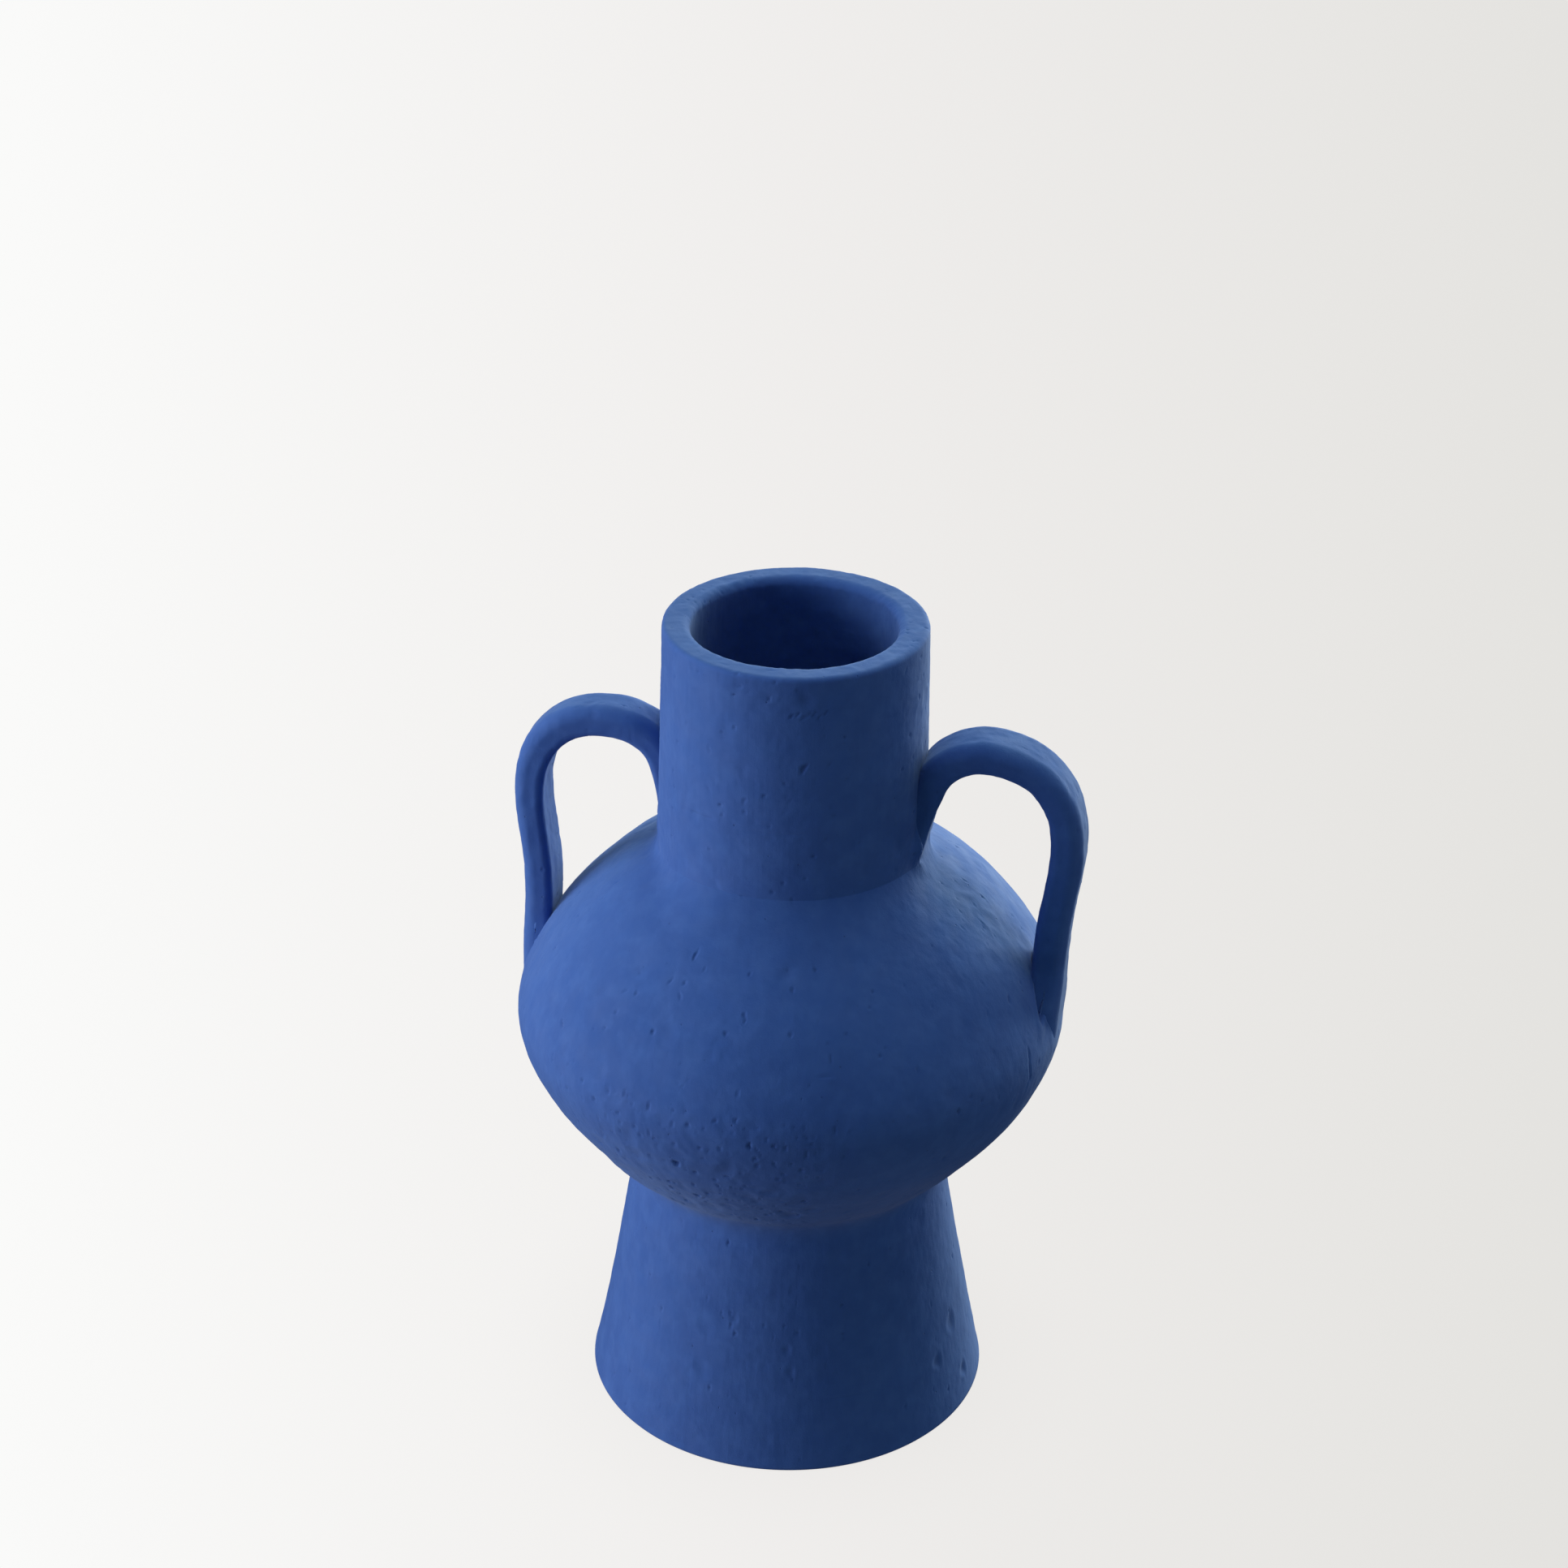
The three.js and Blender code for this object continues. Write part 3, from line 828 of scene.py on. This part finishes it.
def luting(skin, strap):
    """How far the pot's skin is smeared up on to the sides of a strap, in metres."""
    strap_normals = grid_normals(strap).reshape(-1, 3)
    tree = KDTree(len(strap_normals))
    for i, spot in enumerate(strap.reshape(-1, 3) * MM):
        tree.insert(spot, i)
    tree.balance()
    low, high = strap.min((0, 1)) * MM, strap.max((0, 1)) * MM
    reach = max(LUTING_RADII) * MM
    close = ((skin.points > low - reach) & (skin.points < high + reach)).all(-1)
    nearest = [tree.find(point)[1:] for point in skin.points[close]]
    index, gap = (np.array(column) for column in zip(*nearest))
    share = index // strap.shape[1] / (len(strap) - 1)
    radius = np.interp(share, LUTING_STATIONS, LUTING_RADII) * MM
    sideways = 1 - np.abs((strap_normals[index] * skin.normals[close]).sum(-1))
    climb = np.zeros(skin.pressed.shape)
    across = np.maximum(radius - gap, 0)
    climb[close] = (radius - np.sqrt(radius**2 - across**2)) * sideways
    return climb


def make_handle(name, node, points, seed):
    near = np.exp(-distance_to_pot(points) / RUN_IN)
    skin = Skin(points * MM, grid_normals(points))
    press_random_marks(skin, 140, seed, rows=(30, len(points) - 50), size=0.8)
    pulled = MM * lumpy(skin.points, STRAP_LUMPS, first_seed=seed)
    relief = pulled + near * (hand_worked(skin.points) - pulled)  # runs into the pot's skin
    finished = skin.finished(relief)
    ends = [finished[i].mean(0, keepdims=True) for i in (0, -1)]
    pressed = np.concatenate([[0], skin.pressed.ravel()])
    return mesh_piece(name, node, [ends[0], *finished, ends[1]], pressed)


# ---- Material ----
class Shader:
    """Short names for making a node material."""

    def __init__(self, name):
        self.material = bpy.data.materials.new(name)
        self.material.use_nodes = True
        self.tree = self.material.node_tree
        self.surface = self.tree.nodes["Principled BSDF"]
        self.place = self.add("ShaderNodeTexCoord").outputs["Object"]

    def add(self, kind, inputs=(), **settings):
        node = self.tree.nodes.new(kind)
        for name, value in settings.items():
            setattr(node, name, value)
        for name, value in dict(inputs).items():
            self.set(node.inputs[name], value)
        return node

    def set(self, socket, value):
        if isinstance(value, bpy.types.NodeSocket):
            self.tree.links.new(value, socket)
        else:
            socket.default_value = value

    def noise(self, size, detail=2.0, stretch=(1, 1, 1), roughness=0.5):
        """Noise from 0 to 1 whose lumps are about `size` metres apart."""
        place = self.add(
            "ShaderNodeMapping", {"Vector": self.place, "Scale": [s / size for s in stretch]}
        ).outputs[0]
        settings = {"Vector": place, "Scale": 1.0, "Detail": detail, "Roughness": roughness}
        return self.add("ShaderNodeTexNoise", settings).outputs["Fac"]

    def range(self, value, low, high, to_low=0.0, to_high=1.0):
        """value moved evenly from low...high to to_low...to_high, and kept within them."""
        settings = {
            "Value": value, "From Min": low, "From Max": high, "To Min": to_low, "To Max": to_high
        }
        return self.add("ShaderNodeMapRange", settings).outputs[0]

    def maths(self, operation, *values):
        inputs = dict(enumerate(values))
        return self.add("ShaderNodeMath", inputs, operation=operation).outputs[0]

    def mix(self, share, a, b):
        """a where share is 0, and b where it is 1."""
        node = self.add("ShaderNodeMix", data_type="RGBA")
        sockets = [socket for socket in node.inputs if socket.enabled]
        for socket, value in zip(sockets, (share, a, b)):
            self.set(socket, value)
        return next(socket for socket in node.outputs if socket.enabled)

    def bump(self, height, depth, under=None):
        """A normal for a surface as rough as height times depth, on top of the one under it."""
        settings = {"Height": height, "Strength": 1.0, "Distance": depth}
        if under is not None:
            settings["Normal"] = under
        return self.add("ShaderNodeBump", settings).outputs[0]


COBALT = (0.041, 0.114, 0.395, 1)
DEEP_COBALT = (0.034, 0.098, 0.352, 1)
PALE_COBALT = (0.053, 0.135, 0.430, 1)
# Painted shade: pits and pinholes turn towards the next colour, deeper pits more, standing in for
# the shade inside them.
PIT_SHADE_COBALT = (0.016, 0.048, 0.190, 1)
BARE_GRAIN = (0.45, 0.52, 0.66, 1)
PIT_LEAST_DEPTH = 0.08  # millimetres at which a pit begins to look darker
PIT_FULL_DEPTH = 0.55  # and where it is as dark as it gets
PAINTED_PIT_SHADE = 0.4


def pinholes(shader, spacing, radius, share):
    """1 inside tiny round holes, a `share` of all cells of that spacing having one."""
    place = shader.add(
        "ShaderNodeMapping", {"Vector": shader.place, "Scale": [1 / spacing] * 3}
    ).outputs[0]
    cells = shader.add("ShaderNodeTexVoronoi", {"Vector": place, "Scale": 1.0})
    hole = shader.range(cells.outputs["Distance"], radius / spacing, 0.2 * radius / spacing)
    chance = shader.add("ShaderNodeSeparateColor", {"Color": cells.outputs["Color"]}).outputs[0]
    chosen = shader.maths("LESS_THAN", chance, share)
    return shader.maths("MULTIPLY", hole, chosen)


def matt_blue_clay():
    """Dry cobalt slip, brushed and sponged over grogged clay: mottled, dusty and full of tiny
    pinholes. Its pits and pinholes are coloured darker as painted shade, a pit the more the deeper
    it is pressed."""
    shader = Shader("matt_blue_clay")
    holes = pinholes(shader, 5.5 * MM, 0.42 * MM, 0.35)
    grains = pinholes(shader, 26 * MM, 0.28 * MM, 0.12)
    cloud = shader.range(shader.noise(55 * MM, 3), 0.35, 0.65)
    mottle = shader.range(shader.noise(7 * MM, 4), 0.42, 0.72, 0, 0.6)
    strokes = shader.range(shader.noise(14 * MM, 3, (5, 5, 0.5)), 0.5, 0.75, 0, 0.35)
    colour = shader.mix(cloud, DEEP_COBALT, COBALT)
    colour = shader.mix(mottle, colour, PALE_COBALT)
    colour = shader.mix(strokes, colour, DEEP_COBALT)
    # Painted shade: a pit's colour darkens with how deep it is pressed in.
    depth = shader.add("ShaderNodeAttribute", attribute_name="pressed").outputs["Fac"]
    pit = shader.range(depth, PIT_LEAST_DEPTH, PIT_FULL_DEPTH, 0, PAINTED_PIT_SHADE)
    colour = shader.mix(pit, colour, PIT_SHADE_COBALT)
    # Painted shade in the pinholes too, with the same dark blue as in the pits.
    colour = shader.mix(shader.maths("MULTIPLY", holes, 0.6), colour, PIT_SHADE_COBALT)
    colour = shader.mix(grains, colour, BARE_GRAIN)

    grit = shader.bump(shader.noise(0.55 * MM, 3, roughness=0.6), 0.035 * MM)
    crumb = shader.bump(shader.noise(1.7 * MM, 2), 0.05 * MM, grit)
    brushed = shader.bump(shader.noise(1.5 * MM, 2, (1, 1, 0.07)), 0.05 * MM, crumb)
    pitted = shader.bump(shader.maths("MULTIPLY", holes, -1.0), 0.16 * MM, brushed)
    dry = {
        "Base Color": colour,
        "Roughness": shader.range(shader.noise(9 * MM), 0.3, 0.7, 0.78, 0.92),
        "Normal": pitted,
        "Specular IOR Level": 0.35,
        "Sheen Weight": 0.12,
        "Sheen Roughness": 0.5,
        "Sheen Tint": (0.75, 0.85, 1, 1),
    }
    for name, value in dry.items():
        shader.set(shader.surface.inputs[name], value)
    return shader.material


# ---- Floor, light and camera ----
CAMERA_TURN = math.radians(12)  # how far round from the front the camera stands
CAMERA_DISTANCE = 1.0373  # level distance from the pot's axis
CAMERA_HEIGHT = 0.7841
CAMERA_PITCH = math.radians(27.745)
CAMERA_YAW = math.radians(-0.179)
CAMERA_ROLL = math.radians(0.571)
CAMERA_LENS = 78.8
SENSOR_WIDTH = 36
FLOOR_RADIUS = 12
FLOOR_SIDES = 64


def camera_side():
    """A turn about Z that carries the front of the pot round to the camera."""
    return Matrix.Rotation(CAMERA_TURN, 4, "Z")


def make_camera():
    data = bpy.data.cameras.new("camera")
    data.lens, data.sensor_width = CAMERA_LENS, SENSOR_WIDTH
    camera = bpy.data.objects.new("camera", data)
    bpy.context.scene.collection.objects.link(camera)
    aim = (
        Matrix.Rotation(-CAMERA_YAW, 4, "Z")
        @ Matrix.Rotation(math.pi / 2 - CAMERA_PITCH, 4, "X")
        @ Matrix.Rotation(CAMERA_ROLL, 4, "Z")
    )
    place = Matrix.Translation((0, -CAMERA_DISTANCE, CAMERA_HEIGHT))
    camera.matrix_world = camera_side() @ place @ aim
    bpy.context.scene.camera = camera


def make_floor():
    """A pale seamless floor, a little brighter on the left, with a faint shadow at the foot."""
    mesh = bpy.data.meshes.new("floor")
    angle = np.arange(FLOOR_SIDES) * (2 * math.pi / FLOOR_SIDES)
    rim = np.stack([np.cos(angle), np.sin(angle), 0 * angle], -1) * FLOOR_RADIUS
    mesh.from_pydata(rim.tolist(), [], [list(range(FLOOR_SIDES))])
    floor = bpy.data.objects.new("floor", mesh)
    bpy.context.scene.collection.objects.link(floor)
    floor.visible_diffuse = False
    floor.visible_glossy = False
    floor.visible_shadow = False
    floor.data.materials.append(floor_paint())


FLOOR_LEFT = (0.955, 0.955, 0.948, 1)
FLOOR_MIDDLE = (0.865, 0.850, 0.838, 1)
FLOOR_RIGHT = (0.775, 0.765, 0.742, 1)


def floor_paint():
    shader = Shader("pale_floor")
    # The light on the floor fans out from a point well in front of the pot.
    fan = camera_side() @ Vector(
        (0, -CAMERA_DISTANCE - CAMERA_HEIGHT * math.tan(CAMERA_PITCH), 0)
    )
    place = shader.add("ShaderNodeMapping", {
        "Vector": shader.place, "Location": fan, "Rotation": (0, 0, CAMERA_TURN)
    }, vector_type="TEXTURE").outputs[0]
    axes = shader.add("ShaderNodeSeparateXYZ", {0: place}).outputs
    slope = shader.maths("DIVIDE", axes["X"], shader.maths("ABSOLUTE", axes["Y"]))
    edge = SENSOR_WIDTH / 2 / CAMERA_LENS * math.cos(CAMERA_PITCH)  # at the picture's sides
    ramp = shader.add("ShaderNodeValToRGB", {"Fac": shader.range(slope, -edge, edge)})
    stops = ramp.color_ramp.elements
    stops[0].color, stops[1].color = FLOOR_LEFT, FLOOR_RIGHT
    stops.new(0.5).color = FLOOR_MIDDLE
    near = shader.add("ShaderNodeAmbientOcclusion", {"Distance": 0.05}, samples=8)
    shade = shader.range(near.outputs["AO"], 0, 1, 0.93, 1.0)
    glow = shader.add("ShaderNodeEmission", {"Color": ramp.outputs[0], "Strength": shade})
    shader.tree.nodes.remove(shader.surface)
    output = shader.tree.nodes["Material Output"]
    shader.tree.links.new(glow.outputs[0], output.inputs["Surface"])
    return shader.material


LAMP_SIZE = 0.8
LAMP_DISTANCE = 1.3
AIM_HEIGHT = 0.16  # of the point on the pot's axis that the lamps face
# Name, degrees round from the camera towards its right, degrees up, watts and tint.
LIGHTS = [
    ("window_left", -90, 10, 15.2, (0.93, 1.0, 0.96)),
    ("behind_right", 150, 10, 19.7, (0.87, 1.0, 0.99)),
    ("above_right", 150, 45, 8.3, (0.86, 1.0, 0.61)),
    ("overhead", 0, 88, 6.2, (0.77, 0.91, 1.0)),
    ("side_right", 90, 10, 2.9, (0.85, 0.89, 1.0)),
    ("front_left", -60, 10, 3.0, (0.46, 0.67, 1.0)),
    ("bounce_left", -60, -25, 2.7, (1.0, 0.74, 0.8)),
    ("bounce_front", 30, -25, 2.1, (0.67, 1.0, 1.0)),
]


def soft_light(name, turn, elevation, power, colour):
    """A square lamp aimed at the pot."""
    data = bpy.data.lights.new(name, "AREA")
    data.size, data.energy, data.color = LAMP_SIZE, power, colour
    lamp = bpy.data.objects.new(name, data)
    bpy.context.scene.collection.objects.link(lamp)
    aim = Vector((0, 0, AIM_HEIGHT))
    a, e = math.radians(turn) + CAMERA_TURN, math.radians(elevation)
    away = Vector((math.sin(a) * math.cos(e), -math.cos(a) * math.cos(e), math.sin(e)))
    lamp.location = aim + away * LAMP_DISTANCE
    lamp.rotation_euler = away.to_track_quat("Z", "Y").to_euler()
    lamp.visible_camera = False


ROOM_LIGHT = (0.001, 0.001, 0.001, 1)
BACKDROP = (0.86, 0.85, 0.84, 1)


def make_world():
    """Dim light from all round the room, behind a pale backdrop that only the camera sees."""
    world = bpy.data.worlds.new("studio")
    bpy.context.scene.world = world
    world.use_nodes = True
    tree = world.node_tree
    room = tree.nodes["Background"]
    room.inputs["Color"].default_value = ROOM_LIGHT
    backdrop = tree.nodes.new("ShaderNodeBackground")
    backdrop.inputs["Color"].default_value = BACKDROP
    path = tree.nodes.new("ShaderNodeLightPath")
    mix = tree.nodes.new("ShaderNodeMixShader")
    tree.links.new(path.outputs["Is Camera Ray"], mix.inputs[0])
    tree.links.new(room.outputs[0], mix.inputs[1])
    tree.links.new(backdrop.outputs[0], mix.inputs[2])
    tree.links.new(mix.outputs[0], tree.nodes["World Output"].inputs["Surface"])


# ---- Assembly ----
def make_amphora():
    left = strap_grid(LEFT_STRAP, LEFT_WIDTHS, LEFT_THICKNESSES, -1)
    right = strap_grid(RIGHT_STRAP, RIGHT_WIDTHS, RIGHT_THICKNESSES, 1)
    outside = make_outside([left, right])
    pieces = [
        make_foot(outside),
        make_waist_coil(outside),
        make_lower_bowl(outside),
        make_shoulder(outside),
        make_neck_coil(outside),
        make_neck(outside),
        make_seam_coil(),
        make_handle("pulled_handle_left", "handle_left", left, seed=61),
        make_handle("pulled_handle_right", "handle_right", right, seed=71),
    ]
    clay = matt_blue_clay()
    for piece in pieces:
        piece.data.materials.append(clay)


make_camera()
make_amphora()
make_floor()
make_world()
for light in LIGHTS:
    soft_light(*light)
bpy.context.scene.view_settings.view_transform = "Standard"
